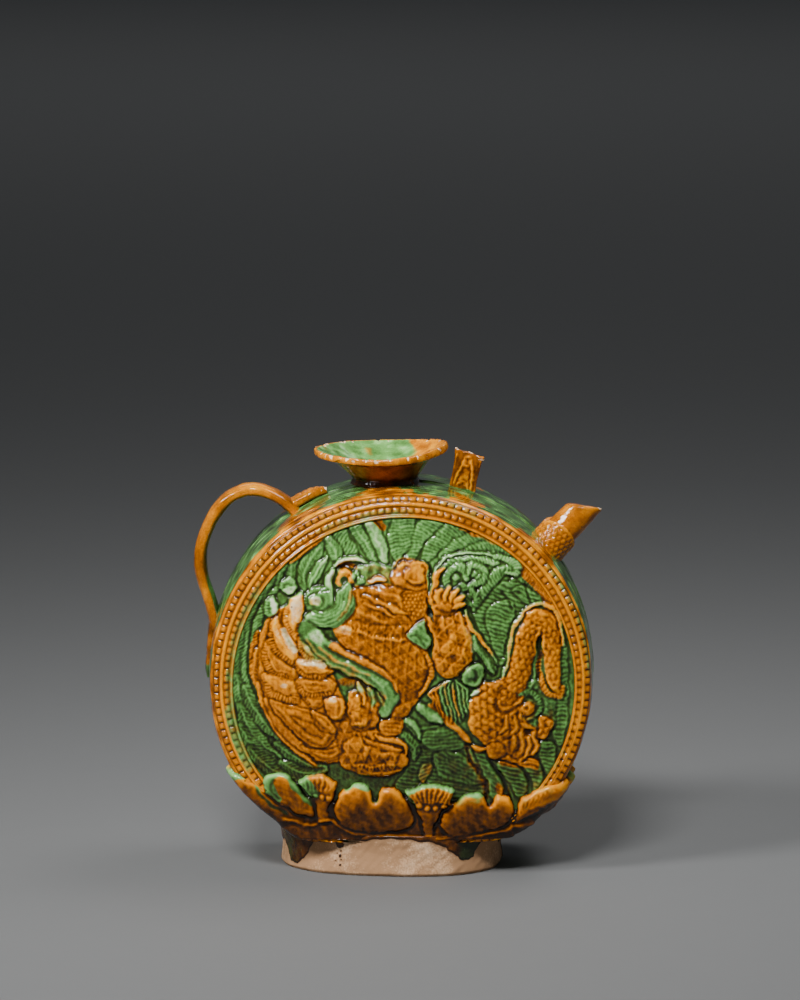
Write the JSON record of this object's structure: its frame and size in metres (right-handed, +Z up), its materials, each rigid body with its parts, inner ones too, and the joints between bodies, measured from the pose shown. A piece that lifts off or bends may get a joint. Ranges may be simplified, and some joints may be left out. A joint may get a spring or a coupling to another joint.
{
  "type": "glazed ewer",
  "caption": "Flattened round pottery ewer with moulded creature and lotus relief, dish mouth, strap handle, short spout, lug and oval foot.",
  "frame": {"origin": "middle of the object's footprint, on the surface it stands on", "axes": "+Z up, +X from the handle towards the spout, the front face looks along -Y"},
  "size_m": [0.2032, 0.092, 0.2118],
  "materials": {
    "green_amber_glaze": "glossy lead glaze, green with amber creature and bead border, pooled dark in the recesses",
    "amber_glaze": "glossy amber lead glaze, thin on edges",
    "lotus_glaze": "glossy lead glaze, amber petals with green upper edges",
    "mouth_glaze": "amber outside and green inside, worn to bare clay on the rim",
    "bare_clay": "matt unglazed buff clay with glaze drips"
  },
  "bodies": {
    "root": {"front_body_half": "green_amber_glaze", "back_body_half": "green_amber_glaze", "front_lotus_collar": "lotus_glaze", "back_lotus_collar": "lotus_glaze", "foot_ring": "bare_clay", "dish_mouth": "mouth_glaze", "handle_strap": "amber_glaze", "handle_upper_leaf": "amber_glaze", "handle_lower_tail": "amber_glaze", "spout_tube": "amber_glaze", "spout_sleeve": "amber_glaze", "shoulder_lug": "amber_glaze"}
  },
  "joints": []
}
